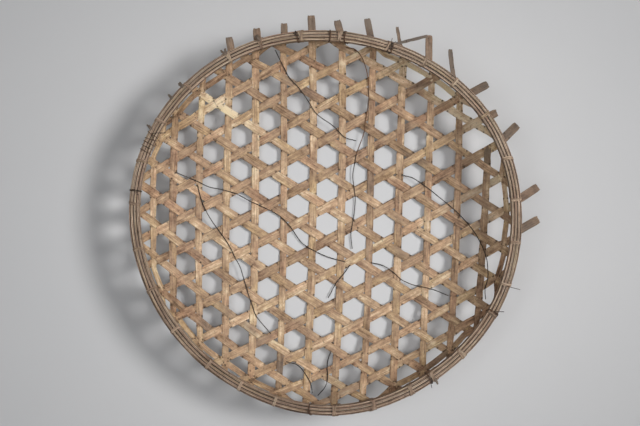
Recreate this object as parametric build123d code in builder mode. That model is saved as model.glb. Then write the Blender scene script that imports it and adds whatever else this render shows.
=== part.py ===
from build123d import *
import os
from math import atan2, ceil, cos, hypot, pi, sin, sqrt, tan

# Shallow round winnowing basket in open hexagonal (three-way) bamboo weave.
# Origin: on the surface the basket stands on, under the middle of its overall
# box, long strip ends included. +Z up, the mouth faces up, the long strip ends
# stand out towards +Y and +X. All sizes in millimetres.

# ---------------------------------------------------------------- dimensions
basket_centre = (-13.8, -9.8)   # the rim's centre, seen from the origin
strip_width = {"upright": 11.2, "rising": 12.6, "falling": 12.6}   # split bamboo strips, across
strip_thickness = 0.9        # split bamboo strip, through
weave_offset = 0.65          # a strip runs this far above or below the weave's middle surface
crossing_half = 8.3          # half of the straight stretch at each crossing
bowl_height = 80.0           # middle surface of the weave climbs this far to the foot of the rim
flat_fraction = 0.05         # inner part of the radius that lies flat
bowl_power_r = 2.6           # shape of the bowl's section, along the radius
bowl_power_z = 2.2           # shape of the bowl's section, along the height
low_point = (19.0, -34.0)    # the bowl is deepest here, seen from the rim's centre
wall_inset = 9.0             # the weave's middle surface stands this far inside the rim's outline
wall_start = 0.975           # part of the wall radius where the strips turn up into the rim
strip_top = 92.0             # flush-cut strip ends
lean_start = 90.5            # long strip ends lean outwards from here
tip_height = 99.0            # height of the long strip ends' tips

inner_hoop = (14.4, 11.5, 79.0, 96.5)    # inset of inner face, inset of outer face, bottom, top
outer_hoop = (3.6, 0.2, 75.0, 90.5)
splint_insets = (13.9, 9.3, 4.7)         # middle of each rim splint, inset from the outline
splint_width = 4.2
splint_height = 3.2
splint_bottom = 98.0

lashing_width = 2.4          # cane lashing, along the rim
lashing_thickness = 0.9
lashing_box = (15.6, 1.6, 73.2, 102.6)   # inside of the loop: inner inset, outer stand-out, bottom, top
wire_diameter = 1.3
wire_lift = 2.3              # the mending wires lie this far above the weave's middle surface

# the rim's outline, as a mean radius and pairs of cosine and sine terms
outline_terms = (296.57, 1.68, 3.47, 3.12, -2.84, 0.08, 3.18, 0.25, 0.29, -0.48, -0.39, -0.41, -0.38, -0.22, 0.27)

# each strip: offset from the basket's middle as a polynomial of the distance
# along the strip, in units of 300 mm
family_angle = {"upright": 90.0, "rising": 30.0, "falling": -30.0}
strips = {
    "upright_strip_01": (270.48, 2.86, -32.37, 0.00, 0.00),
    "upright_strip_02": (241.37, -0.87, -18.72, 4.98, -19.16),
    "upright_strip_03": (202.12, -2.11, -15.36, 2.54, -7.33),
    "upright_strip_04": (158.40, -4.09, -6.17, 1.57, -3.70),
    "upright_strip_05": (112.64, -4.09, 1.10, 0.22, -1.98),
    "upright_strip_06": (66.41, -3.83, 4.19, -0.65, -1.06),
    "upright_strip_07": (19.60, -5.36, 5.95, 0.46, -0.05),
    "upright_strip_08": (-26.86, -6.05, 5.49, -1.03, 1.96),
    "upright_strip_09": (-72.69, -5.63, 3.37, -4.09, 3.91),
    "upright_strip_10": (-118.94, -6.24, 2.07, -4.33, 4.99),
    "upright_strip_11": (-165.41, -7.25, 4.71, -3.51, 7.13),
    "upright_strip_12": (-211.53, -9.78, 14.92, -2.50, 10.82),
    "upright_strip_13": (-253.14, -16.23, 22.01, -2.53, 7.85),
    "upright_strip_14": (-283.31, -24.22, 6.21, 0.00, 0.00),
    "rising_strip_01": (282.04, 24.83, -13.66, 0.00, 0.00),
    "rising_strip_02": (250.67, 3.30, -22.11, -6.99, -23.22),
    "rising_strip_03": (209.32, -0.45, -13.79, -5.34, -10.45),
    "rising_strip_04": (163.40, -1.30, -6.00, -2.19, -5.23),
    "rising_strip_05": (115.20, -4.32, 2.52, -1.68, -2.81),
    "rising_strip_06": (67.06, -6.46, 7.80, -3.69, -1.53),
    "rising_strip_07": (19.46, -6.99, 8.68, -3.85, -0.03),
    "rising_strip_08": (-27.80, -6.50, 6.62, -3.39, 2.21),
    "rising_strip_09": (-75.22, -7.33, 5.04, -2.53, 4.18),
    "rising_strip_10": (-123.13, -8.56, 7.56, -3.31, 5.53),
    "rising_strip_11": (-170.14, -9.05, 14.19, -4.59, 7.48),
    "rising_strip_12": (-214.97, -8.82, 26.66, -5.24, 10.90),
    "rising_strip_13": (-252.87, -2.94, 37.91, -5.53, 5.58),
    "rising_strip_14": (-280.51, 24.59, 13.71, 0.00, 0.00),
    "falling_strip_01": (283.45, -18.91, -10.88, 0.00, 0.00),
    "falling_strip_02": (255.32, -0.84, -23.98, 7.04, -7.59),
    "falling_strip_03": (213.55, -3.27, -25.48, 3.05, -8.92),
    "falling_strip_04": (165.16, -8.54, -12.13, 1.79, -4.40),
    "falling_strip_05": (116.22, -11.14, -2.84, 1.12, -2.58),
    "falling_strip_06": (68.65, -11.51, -0.46, -0.04, -1.49),
    "falling_strip_07": (22.52, -11.73, -0.72, 0.47, -0.33),
    "falling_strip_08": (-23.66, -12.59, 0.89, 1.34, 1.18),
    "falling_strip_09": (-70.57, -13.89, 3.98, 1.28, 1.99),
    "falling_strip_10": (-117.45, -16.76, 8.86, 0.35, 3.99),
    "falling_strip_11": (-164.17, -21.09, 18.49, 1.01, 5.75),
    "falling_strip_12": (-208.36, -22.26, 30.37, 4.58, 6.64),
    "falling_strip_13": (-245.11, -24.33, 34.24, 2.96, 2.69),
    "falling_strip_14": (-269.79, -19.18, 25.35, 0.00, 0.00),
}

# the outermost strips run along the wall and turn up into the rim at these distances
edge_reach = {
    "upright_strip_01": (-112.0, 140.0),
    "upright_strip_14": (-95.0, 78.0),
    "rising_strip_01": (-128.0, 40.0),
    "rising_strip_14": (-40.0, 105.0),
    "falling_strip_01": (-50.0, 85.0),
    "falling_strip_14": (-125.0, 75.0),
}

# strip ends that stand out past the rim: where each tip is, seen from above
long_ends = {
    "upright_strip_04": (-146.4, 283.1),
    "upright_strip_05": (-104.4, 296.8),
    "upright_strip_06": (-62.5, 304.5),
    "upright_strip_07": (-21.3, 316.7),
    "upright_strip_08": (18.3, 309.0),
    "upright_strip_09": (64.0, 311.3),
    "upright_strip_10": (109.8, 299.1),
    "upright_strip_11": (158.6, 286.2),
    "upright_strip_12": (190.6, 264.8),
    "rising_strip_03": (157.1, 284.7),
    "rising_strip_06": (248.5, 211.5),
    "rising_strip_07": (263.0, 168.0),
    "rising_strip_08": (293.5, 149.4),
    "rising_strip_10": (324.8, 55.0),
    "rising_strip_11": (326.3, 5.9),
}
# long ends that have split down to a sliver
narrow_ends = {"upright_strip_10": 5.0, "rising_strip_03": 4.5, "upright_strip_12": 7.0}

# a strip that has snapped off inside the basket, and where along it
broken_ends = {"upright_strip_13": 122.0}

lashing_angles = (85.5, 70.0, 58.1, 47.2, 33.9, 19.8, 6.7, 354.0, 341.2, 331.5, 316.2, 305.0, 297.2, 285.0,
                  272.8, 254.3, 242.6, 230.7, 215.3, 200.8, 188.0, 174.5, 161.2, 148.4, 135.1, 120.1, 109.8, 97.5)
double_lashings = (85.5, 70.0, 305.0, 297.2, 285.0, 272.8, 120.1, 109.8, 97.5, 316.2)
wound_ties = (158.4, 157.0, 155.7, 154.4, 153.0)
wire_tie_angles = (98.6, 88.5, 84.1, 69.0, 170.4, 158.4, 157.0, 155.7, 154.4, 153.0, 332.3, 304.0, 265.1)

# the mending wires' routes over the weave, seen from above
wires = {
    "mending_wire_1": ((-80.6, 275.7), (-72.1, 258.7), (-58.4, 233.7), (-41.1, 214.0), (-26.8, 193.8),
                       (-10.8, 171.9), (16.4, 152.8), (32.6, 137.0), (49.9, 131.2)),
    "mending_wire_2": ((34.1, 280.2), (55.1, 265.6), (65.0, 247.0), (68.5, 227.0), (70.6, 197.2),
                       (66.1, 167.0), (63.0, 144.1), (54.9, 121.0), (48.8, 98.1), (45.6, 71.0), (48.9, 39.8),
                       (46.2, 6.5), (42.5, -18.8), (44.1, -43.0)),
    "mending_wire_3": ((40.8, -69.2), (29.8, -85.0), (16.6, -101.5), (5.3, -122.4)),
    "mending_wire_4": ((-237.5, 79.8), (-212.1, 68.8), (-183.7, 56.4), (-163.3, 52.2), (-141.1, 45.4),
                       (-118.8, 33.0), (-92.9, 21.6), (-72.1, 9.5), (-57.1, -5.6), (-46.4, -20.8),
                       (-33.1, -36.9), (-10.8, -49.2), (11.6, -58.6), (32.8, -64.4)),
    "mending_wire_5": ((-204.0, 60.1), (-200.0, 42.6), (-194.9, 27.6), (-187.0, 12.1), (-176.6, -4.3),
                       (-164.2, -22.2), (-151.2, -43.6), (-137.3, -70.9), (-128.5, -96.9), (-120.0, -125.0),
                       (-109.3, -151.8), (-86.1, -179.1)),
    "mending_wire_6": ((124.4, 75.9), (141.3, 71.1), (160.1, 59.2), (178.1, 45.3), (200.6, 26.8), (221.8, 5.8),
                       (238.1, -14.7), (250.3, -37.6), (257.2, -60.3), (257.9, -82.7), (253.5, -105.1),
                       (252.7, -120.5)),
    "mending_wire_7": ((76.4, -66.0), (94.3, -70.3), (111.3, -81.5), (126.1, -94.4), (143.5, -101.2),
                       (168.9, -106.7), (198.3, -117.6)),
    "mending_wire_8": ((10.0, -206.4), (4.2, -224.8), (4.5, -245.0), (0.3, -260.7), (-10.9, -272.8)),
    "mending_wire_9": ((-61.8, -222.5), (-45.2, -227.8), (-32.5, -239.4), (-23.5, -253.4), (-20.1, -268.6)),
}


# ---------------------------------------------------------------- bowl shape
def outline(a):
    r = outline_terms[0]
    for k in range(1, 8):
        r += outline_terms[2 * k - 1] * cos(k * a) + outline_terms[2 * k] * sin(k * a)
    return r


def wall(a):
    return outline(a) - wall_inset


def profile(rho):
    q = min(max((rho - flat_fraction) / (1 - flat_fraction), 0.0), 1.0)
    return bowl_height * (1 - (1 - q ** bowl_power_r) ** (1 / bowl_power_z))


def rho_at(z):
    if z >= bowl_height:
        return 1.0
    q = (1 - (1 - z / bowl_height) ** bowl_power_z) ** (1 / bowl_power_r)
    return flat_fraction + (1 - flat_fraction) * q


# the middle surface is lifted so that the lowest strips' undersides meet z = 0
lift = weave_offset + strip_thickness / 2 - 0.05


def shifted(p):
    return (p[0] + basket_centre[0], p[1] + basket_centre[1], p[2])


def unit(v):
    n = sqrt(v[0] ** 2 + v[1] ** 2 + v[2] ** 2)
    return (v[0] / n, v[1] / n, v[2] / n)


def cross(a, b):
    return (a[1] * b[2] - a[2] * b[1], a[2] * b[0] - a[0] * b[2], a[0] * b[1] - a[1] * b[0])


def surface_normal(a, rho, radius):
    # inwards and up, square to the meridian
    e = 0.002
    hi = min(rho + e, 1.0)
    lo = max(hi - 2 * e, 0.0)
    slope = (profile(hi) - profile(lo)) / ((hi - lo) * radius)
    c = 1 / sqrt(1 + slope * slope)
    s = slope * c
    return (-s * cos(a), -s * sin(a), c)


def family_of(name):
    return name.split("_")[0]


def axes_of(name):
    a = family_angle[family_of(name)] * pi / 180
    return (cos(a), sin(a)), (-sin(a), cos(a))


def offset_at(name, u):
    w = u / 300.0
    return sum(c * w ** i for i, c in enumerate(strips[name]))


def plan_point(name, u):
    d, n = axes_of(name)
    v = offset_at(name, u)
    return d[0] * u + n[0] * v, d[1] * u + n[1] * v


def plan_rho(x, y):
    return hypot(x, y) / wall(atan2(y, x))


def bowl_rho(x, y):
    # 0 at the deepest point and 1 at the rim: the bowl's level lines slide from
    # the deepest point to the rim's centre on their way up
    rho = plan_rho(x, y)
    for _ in range(8):
        g = max(1 - (rho / 0.9) ** 2, 0.0)
        rho = plan_rho(x - low_point[0] * g, y - low_point[1] * g)
    return rho


def bowl_z(x, y):
    return profile(min(bowl_rho(x, y), wall_start)) + lift


def bowl_normal(x, y):
    e = 0.5
    sx = (profile(bowl_rho(x + e, y)) - profile(bowl_rho(x - e, y))) / (2 * e)
    sy = (profile(bowl_rho(x, y + e)) - profile(bowl_rho(x, y - e))) / (2 * e)
    return tuple(unit((-sx, -sy, 1.0)))


def reach(name):
    if name in edge_reach:
        return edge_reach[name]
    ends = []
    for sign in (-1, 1):
        u = 0.0
        while plan_rho(*plan_point(name, u)) < wall_start and abs(u) < 320:
            u += sign
        ends.append(u - sign)
    return tuple(ends)


reaches = {name: reach(name) for name in strips}


def wall_end(name, sign):
    # carry on up the wall, at the slant that the strip arrives with
    u = reaches[name][0 if sign < 0 else 1]
    x0, y0 = plan_point(name, u - sign)
    x, y = plan_point(name, u)
    dx, dy = x - x0, y - y0
    a = atan2(y, x)
    radius = wall(a)
    rho = min(plan_rho(x, y), wall_start)
    slope = (profile(rho) - profile(rho - 0.004)) / (0.004 * radius)
    along = (dx * cos(a) + dy * sin(a)) * sqrt(1 + slope * slope)
    aside = -dx * sin(a) + dy * cos(a)
    slant = max(min(aside / max(along, 1e-6), 1.5), -1.5)
    z = profile(rho)
    top = (lean_start if (sign > 0 and name in long_ends) else strip_top) - lift
    pts = []
    while z < top - 0.01:
        dz = min(1.5, top - z)
        r0, r1 = rho_at(z) * wall(a), rho_at(z + dz) * wall(a)
        step = hypot(dz, r1 - r0)
        z += dz
        a += slant * step / wall(a)
        r = rho_at(z) * wall(a)
        nrm = surface_normal(a, rho_at(z), wall(a)) if z < bowl_height - 0.5 else (-cos(a), -sin(a), 0.0)
        pts.append(((r * cos(a), r * sin(a), z + lift), nrm, "wall"))
    if sign > 0 and name in long_ends:
        tx, ty = long_ends[name]
        px, py = pts[-1][0][0], pts[-1][0][1]
        span = hypot(tx - px, ty - py)
        ex, ey = (tx - px) / span, (ty - py) / span
        er = (cos(a), sin(a))
        for dist, z, nrm in ((3.0, 93.2, (-er[0], -er[1], 1.0)), (7.0, 94.9, (0, 0, 1.0)), (12.0, 95.7, (0, 0, 1.0)),
                             (span * 0.6, 96.6, (0, 0, 1.0)), (span, tip_height, (0, 0, 1.0))):
            pts.append(((px + ex * dist, py + ey * dist, z), unit(nrm), "lean"))
    return pts


def strip_path(name):
    lo, hi = reaches[name]
    if name in broken_ends:
        hi = broken_ends[name]
    mid = []
    steps = int(ceil((hi - lo) / 1.5))
    for i in range(steps + 1):
        x, y = plan_point(name, lo + (hi - lo) * i / steps)
        a = atan2(y, x)
        rho = min(plan_rho(x, y), wall_start)
        r = rho * wall(a)
        x, y = r * cos(a), r * sin(a)
        mid.append(((x, y, bowl_z(x, y)), bowl_normal(x, y), "bowl"))
    path = list(reversed(wall_end(name, -1))) + mid
    if name not in broken_ends:
        path += wall_end(name, 1)
    s = [0.0]
    for p, q in zip(path, path[1:]):
        s.append(s[-1] + sqrt(sum((p[0][i] - q[0][i]) ** 2 for i in range(3))))
    return path, s


over = {("upright", "rising"), ("rising", "falling"), ("falling", "upright")}


# the bowl laid flat: each point keeps its bearing and takes its distance
# along the meridian from the middle
meridian = [0.0]
for step in range(1, 401):
    dr = 290.0 / 400
    meridian.append(meridian[-1] + hypot(dr, profile(step / 400) - profile((step - 1) / 400)))


def flatten(p):
    a = atan2(p[1], p[0])
    rho = min(hypot(p[0], p[1]) / wall(a), 1.0)
    g = meridian[int(rho * 400)] + max(p[2] - lift - bowl_height, 0.0)
    return g * cos(a), g * sin(a)


paths = {name: strip_path(name) for name in strips}
flat = {name: [flatten(p) for p, _, kind in paths[name][0] if kind != "lean"] for name in strips}
cell = 12.0
grid = {}
for name, pts in flat.items():
    for i, (x, y) in enumerate(pts):
        grid.setdefault((int(x // cell), int(y // cell)), []).append((name, i))


def crossings(name, path, s):
    found = {}
    pts = flat[name]
    for i in range(len(pts) - 1):
        (x0, y0), (x1, y1) = pts[i], pts[i + 1]
        cx, cy = int(x0 // cell), int(y0 // cell)
        for gx in (cx - 1, cx, cx + 1):
            for gy in (cy - 1, cy, cy + 1):
                for other, j in grid.get((gx, gy), ()):
                    if family_of(other) == family_of(name) or j + 1 >= len(flat[other]):
                        continue
                    (u0, v0), (u1, v1) = flat[other][j], flat[other][j + 1]
                    den = (x1 - x0) * (v1 - v0) - (y1 - y0) * (u1 - u0)
                    if abs(den) < 1e-12:
                        continue
                    f = ((u0 - x0) * (v1 - v0) - (v0 - y0) * (u1 - u0)) / den
                    g = ((u0 - x0) * (y1 - y0) - (v0 - y0) * (x1 - x0)) / den
                    if 0 <= f < 1 and 0 <= g < 1:
                        sign = 1 if (family_of(name), family_of(other)) in over else -1
                        found[round((s[i] + (s[i + 1] - s[i]) * f) / 3)] = (s[i] + (s[i + 1] - s[i]) * f, sign)
    return sorted(found.values())


taken = []


def clear_of_loops(a, half):
    # no loop round the rim touches the next one
    return all(abs(atan2(sin(a - b), cos(a - b))) * 290.0 > half + other + 0.6 for b, other in taken)


def free_bearing(angle, half):
    # a loop round the rim passes through the weave where no strip is in its way
    best = None
    for k in range(0, 33):
        for sign in (1, -1):
            a = (angle + sign * k * 0.25) * pi / 180
            if not clear_of_loops(a, half):
                continue
            gap = 99.0
            for z in (71.0, 75.0):
                r = rho_at(z) * wall(a)
                fx, fy = flatten((r * cos(a), r * sin(a), z + lift))
                cx, cy = int(fx // cell), int(fy // cell)
                for gx in (cx - 1, cx, cx + 1):
                    for gy in (cy - 1, cy, cy + 1):
                        for other, j in grid.get((gx, gy), ()):
                            q = flat[other][j]
                            gap = min(gap, hypot(q[0] - fx, q[1] - fy))
            for path, s in paths.values():
                for p, _, kind in path:
                    if kind == "lean" and p[2] < 96.2:
                        edge = outline(a)
                        gap = min(gap, hypot(p[0] - edge * cos(a), p[1] - edge * sin(a)))
            score = min(gap, 7.0) - 0.2 * k
            if best is None or score > best[0]:
                best = (score, a)
    taken.append((best[1], half))
    return best[1]


def at(path, s, value):
    j = 1
    while j < len(s) - 1 and s[j] < value:
        j += 1
    f = min(max((value - s[j - 1]) / max(s[j] - s[j - 1], 1e-9), 0.0), 1.0)
    p = tuple(path[j - 1][0][i] * (1 - f) + path[j][0][i] * f for i in range(3))
    n = unit(tuple(path[j - 1][1][i] * (1 - f) + path[j][1][i] * f for i in range(3)))
    return p, n


def stations(name):
    path, s = paths[name]
    kinds = [k for _, _, k in path]
    bowl = [si for si, k in zip(s, kinds) if k == "bowl"]
    b0, b1 = bowl[0], bowl[-1]
    lean = [si for si, k in zip(s, kinds) if k == "lean"]
    stop = lean[0] - 3.0 if lean else s[-1] - 0.5
    found = [c for c in crossings(name, path, s) if 0.5 < c[0] < stop]
    knots = []
    for i, (sc, sign) in enumerate(found):
        gap = min([abs(sc - o[0]) for j, o in enumerate(found) if j != i] or [40.0])
        half = min(crossing_half, 0.34 * gap, max(sc - 0.3, 0.2), max(stop - sc, 0.2))
        knots += [(sc - half, sign * weave_offset), (sc + half, sign * weave_offset)]
    knots.sort()
    knots = [(0.0, knots[0][1])] + knots
    if lean:
        knots += [(max(knots[-1][0] + 1.0, lean[0] - 3.0), knots[-1][1])] + [(v, 0.0) for v in lean]
    else:
        knots += [(s[-1], knots[-1][1])]
    knots.sort()
    out = [knots[0]]
    for k in knots[1:]:
        if k[0] - out[-1][0] < 0.8:
            continue
        out.append(k)
    full = [out[0]]
    for a, b in zip(out, out[1:]):
        p, _ = at(path, s, (a[0] + b[0]) / 2)
        steep = hypot(p[0], p[1]) > 0.72 * outline_terms[0]
        parts = max(1, int(ceil((b[0] - a[0]) / (7.5 if steep else 17.0) - 1e-6)))
        for i in range(1, parts + 1):
            f = i / parts
            full.append((a[0] + (b[0] - a[0]) * f, a[1] + (b[1] - a[1]) * f))
    pos = []
    for si, off in full:
        p, n = at(path, s, si)
        pos.append((p, n, off, si))
    result = []
    for i, (p, n, off, si) in enumerate(pos):
        q0, q1 = pos[max(i - 1, 0)][0], pos[min(i + 1, len(pos) - 1)][0]
        t = unit(tuple(q1[j] - q0[j] for j in range(3)))
        dot = sum(n[j] * t[j] for j in range(3))
        n = unit(tuple(n[j] - dot * t[j] for j in range(3)))
        o = tuple(p[j] + n[j] * off for j in range(3))
        result.append((o, t, n, si, s[-1], lean[0] if lean else None))
    return result


def make_strip(name):
    width = strip_width[family_of(name)] + 0.7 * sin(2.3 * int(name[-2:]) + len(name))
    with BuildPart() as strip:
        for o, t, n, si, total, lean in stations(name):
            w = width
            if lean and si > lean and name in narrow_ends:
                w = width + (narrow_ends[name] - width) * min((si - lean) / 12.0, 1.0)
            with BuildSketch(Plane(origin=shifted(o), x_dir=cross(t, n), z_dir=t)):
                Rectangle(w, strip_thickness)
        loft(ruled=True)
        if strip.part.bounding_box().min.Z < -0.001:
            # the lowest strips are worn flat where the basket stands
            split(bisect_by=Plane.XY, keep=Keep.TOP)
    strip.part.label = name
    return strip


def make_band(inner_inset, outer_inset, bottom, top):
    # closed band that follows the rim's outline
    with BuildPart() as band:
        with BuildSketch(Plane.XY.offset(bottom)):
            for inset, mode in ((outer_inset, Mode.ADD), (inner_inset, Mode.SUBTRACT)):
                pts = []
                for i in range(48):
                    a = 2 * pi * i / 48
                    r = outline(a) - inset
                    pts.append((r * cos(a) + basket_centre[0], r * sin(a) + basket_centre[1]))
                with BuildLine():
                    Spline(*pts, periodic=True)
                make_face(mode=mode)
        extrude(amount=top - bottom)
    return band


if __name__ == "__main__":
    os.makedirs("parts", exist_ok=True)

    # the weave: fourteen strips in each of three directions
    for name in strips:
        strip = make_strip(name)
        export_step(strip.part, "parts/" + name + ".step")

    # two hoops hold the strip ends between them
    hoop_in = make_band(*inner_hoop)
    hoop_in.part.label = "inner_hoop"
    export_step(hoop_in.part, "parts/inner_hoop.step")
    hoop_out = make_band(*outer_hoop)
    hoop_out.part.label = "outer_hoop"
    export_step(hoop_out.part, "parts/outer_hoop.step")

    # three split-bamboo splints cap the rim
    for number, inset in enumerate(splint_insets, 1):
        splint = make_band(inset + splint_width / 2, inset - splint_width / 2, splint_bottom,
                           splint_bottom + splint_height)
        splint.part.label = "rim_splint_%d" % number
        export_step(splint.part, "parts/rim_splint_%d.step" % number)

    # cane lashings: closed loops round hoops and splints
    for angle in wound_ties:
        taken.append((angle * pi / 180, wire_diameter / 2))
    with BuildPart() as lashings:
        for angle in lashing_angles:
            spread = (-1.6, 1.6) if angle in double_lashings else (0.0,)
            middle = free_bearing(angle, spread[-1] + lashing_width / 2)
            for shift in spread:
                a = middle + shift / outline(0.0)
                r_in, r_out = outline(a) - lashing_box[0], outline(a) + lashing_box[1]
                r_mid, z_mid = (r_in + r_out) / 2, (lashing_box[2] + lashing_box[3]) / 2
                wide, high = r_out - r_in, lashing_box[3] - lashing_box[2]
                loop = Plane(origin=shifted((r_mid * cos(a), r_mid * sin(a), z_mid)), x_dir=(cos(a), sin(a), 0),
                             z_dir=(sin(a), -cos(a), 0))
                with BuildSketch(loop):
                    RectangleRounded(wide + 2 * lashing_thickness, high + 2 * lashing_thickness, 3.4)
                    RectangleRounded(wide, high, 2.5, mode=Mode.SUBTRACT)
                extrude(amount=lashing_width / 2, both=True)
    print("lashings at", [round(a * 180 / pi, 2) for a, half in taken if half > 1.0])
    lashings.part.label = "cane_lashings"
    export_step(lashings.part, "parts/cane_lashings.step")

    # iron wire twisted round the rim where it has been mended
    with BuildPart() as ties:
        for angle in wire_tie_angles:
            a = free_bearing(angle, wire_diameter / 2) if angle not in wound_ties else angle * pi / 180
            r_in, r_out = outline(a) - lashing_box[0], outline(a) + lashing_box[1]
            r_mid, z_mid = (r_in + r_out) / 2, (lashing_box[2] + lashing_box[3]) / 2
            wide, high = r_out - r_in, lashing_box[3] - lashing_box[2]
            loop = Plane(origin=shifted((r_mid * cos(a), r_mid * sin(a), z_mid)), x_dir=(cos(a), sin(a), 0),
                         z_dir=(sin(a), -cos(a), 0))
            with BuildSketch(loop):
                RectangleRounded(wide + 2 * wire_diameter, high + 2 * wire_diameter, 3.8)
                RectangleRounded(wide, high, 2.5, mode=Mode.SUBTRACT)
            extrude(amount=wire_diameter / 2, both=True)
    print("ties at", [round(a * 180 / pi, 2) for a, half in taken if half < 1.0])
    ties.part.label = "rim_wire_ties"
    export_step(ties.part, "parts/rim_wire_ties.step")

    # mending wires that lie on the weave
    for name, route in wires.items():
        pts = []
        for x, y in route:
            a = atan2(y, x)
            rho = min(plan_rho(x, y), wall_start)
            r = rho * wall(a)
            x, y = r * cos(a), r * sin(a)
            n = bowl_normal(x, y)
            pts.append(Vector(*shifted((x + n[0] * wire_lift, y + n[1] * wire_lift,
                                        bowl_z(x, y) + n[2] * wire_lift))))
        radii = []
        for p, q, r in zip(pts, pts[1:], pts[2:]):
            turn = (q - p).get_angle(r - q) * pi / 180
            radii.append(min(0.45 * min((q - p).length, (r - q).length) / tan(max(turn, 0.02) / 2), 400.0))
        with BuildPart() as wire:
            with BuildLine() as line:
                FilletPolyline(*pts, radius=radii)
            with BuildSketch(Plane(origin=pts[0], z_dir=pts[1] - pts[0])):
                Circle(wire_diameter / 2)
            sweep(path=line.wire())
        wire.part.label = name
        export_step(wire.part, "parts/" + name + ".step")
        length = line.wire().length
        print(name, "length %.1f" % length, "volume/section/length %.4f"
              % (wire.part.volume / (pi * wire_diameter ** 2 / 4 * length)), "tightest radius %.1f" % min(radii))
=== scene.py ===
from math import atan2, ceil, cos, hypot, pi, sin, sqrt
import bpy
import numpy as np
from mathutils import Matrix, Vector


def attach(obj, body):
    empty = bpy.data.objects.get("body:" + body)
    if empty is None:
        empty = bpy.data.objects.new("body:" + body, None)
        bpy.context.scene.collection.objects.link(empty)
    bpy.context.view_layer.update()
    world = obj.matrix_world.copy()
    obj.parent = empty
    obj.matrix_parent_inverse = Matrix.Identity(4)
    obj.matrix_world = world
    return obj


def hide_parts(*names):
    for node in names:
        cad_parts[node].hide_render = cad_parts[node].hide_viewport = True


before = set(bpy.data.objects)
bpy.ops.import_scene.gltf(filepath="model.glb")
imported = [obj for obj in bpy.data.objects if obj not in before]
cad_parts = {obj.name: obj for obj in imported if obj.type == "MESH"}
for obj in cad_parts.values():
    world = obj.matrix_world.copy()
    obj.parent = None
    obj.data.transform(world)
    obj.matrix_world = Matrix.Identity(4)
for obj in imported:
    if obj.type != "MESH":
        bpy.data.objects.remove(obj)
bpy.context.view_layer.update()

# ------------------------------------------------------------------ the basket's shape, in mm
# The same bowl, outline and strip lines as the CAD source, in a frame centred on the rim.
basket_centre = (-13.8, -9.8)
bowl_height, flat_fraction, bowl_power_r, bowl_power_z = 80.0, 0.05, 2.6, 2.2
low_point = (19.0, -34.0)
wall_inset, wall_start = 9.0, 0.975
strip_top, lean_start, tip_height = 92.0, 90.5, 99.0
lift = 1.05
strip_width = {"upright": 11.2, "rising": 12.6, "falling": 12.6}
weave_offset, crossing_half = 0.65, 8.3
outline_terms = (296.57, 1.68, 3.47, 3.12, -2.84, 0.08, 3.18, 0.25, 0.29, -0.48, -0.39, -0.41, -0.38, -0.22, 0.27)
family_angle = {"upright": 90.0, "rising": 30.0, "falling": -30.0}
strips = {
    "upright_strip_01": (270.48, 2.86, -32.37, 0.00, 0.00),
    "upright_strip_02": (241.37, -0.87, -18.72, 4.98, -19.16),
    "upright_strip_03": (202.12, -2.11, -15.36, 2.54, -7.33),
    "upright_strip_04": (158.40, -4.09, -6.17, 1.57, -3.70),
    "upright_strip_05": (112.64, -4.09, 1.10, 0.22, -1.98),
    "upright_strip_06": (66.41, -3.83, 4.19, -0.65, -1.06),
    "upright_strip_07": (19.60, -5.36, 5.95, 0.46, -0.05),
    "upright_strip_08": (-26.86, -6.05, 5.49, -1.03, 1.96),
    "upright_strip_09": (-72.69, -5.63, 3.37, -4.09, 3.91),
    "upright_strip_10": (-118.94, -6.24, 2.07, -4.33, 4.99),
    "upright_strip_11": (-165.41, -7.25, 4.71, -3.51, 7.13),
    "upright_strip_12": (-211.53, -9.78, 14.92, -2.50, 10.82),
    "upright_strip_13": (-253.14, -16.23, 22.01, -2.53, 7.85),
    "upright_strip_14": (-283.31, -24.22, 6.21, 0.00, 0.00),
    "rising_strip_01": (282.04, 24.83, -13.66, 0.00, 0.00),
    "rising_strip_02": (250.67, 3.30, -22.11, -6.99, -23.22),
    "rising_strip_03": (209.32, -0.45, -13.79, -5.34, -10.45),
    "rising_strip_04": (163.40, -1.30, -6.00, -2.19, -5.23),
    "rising_strip_05": (115.20, -4.32, 2.52, -1.68, -2.81),
    "rising_strip_06": (67.06, -6.46, 7.80, -3.69, -1.53),
    "rising_strip_07": (19.46, -6.99, 8.68, -3.85, -0.03),
    "rising_strip_08": (-27.80, -6.50, 6.62, -3.39, 2.21),
    "rising_strip_09": (-75.22, -7.33, 5.04, -2.53, 4.18),
    "rising_strip_10": (-123.13, -8.56, 7.56, -3.31, 5.53),
    "rising_strip_11": (-170.14, -9.05, 14.19, -4.59, 7.48),
    "rising_strip_12": (-214.97, -8.82, 26.66, -5.24, 10.90),
    "rising_strip_13": (-252.87, -2.94, 37.91, -5.53, 5.58),
    "rising_strip_14": (-280.51, 24.59, 13.71, 0.00, 0.00),
    "falling_strip_01": (283.45, -18.91, -10.88, 0.00, 0.00),
    "falling_strip_02": (255.32, -0.84, -23.98, 7.04, -7.59),
    "falling_strip_03": (213.55, -3.27, -25.48, 3.05, -8.92),
    "falling_strip_04": (165.16, -8.54, -12.13, 1.79, -4.40),
    "falling_strip_05": (116.22, -11.14, -2.84, 1.12, -2.58),
    "falling_strip_06": (68.65, -11.51, -0.46, -0.04, -1.49),
    "falling_strip_07": (22.52, -11.73, -0.72, 0.47, -0.33),
    "falling_strip_08": (-23.66, -12.59, 0.89, 1.34, 1.18),
    "falling_strip_09": (-70.57, -13.89, 3.98, 1.28, 1.99),
    "falling_strip_10": (-117.45, -16.76, 8.86, 0.35, 3.99),
    "falling_strip_11": (-164.17, -21.09, 18.49, 1.01, 5.75),
    "falling_strip_12": (-208.36, -22.26, 30.37, 4.58, 6.64),
    "falling_strip_13": (-245.11, -24.33, 34.24, 2.96, 2.69),
    "falling_strip_14": (-269.79, -19.18, 25.35, 0.00, 0.00),
}
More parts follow.
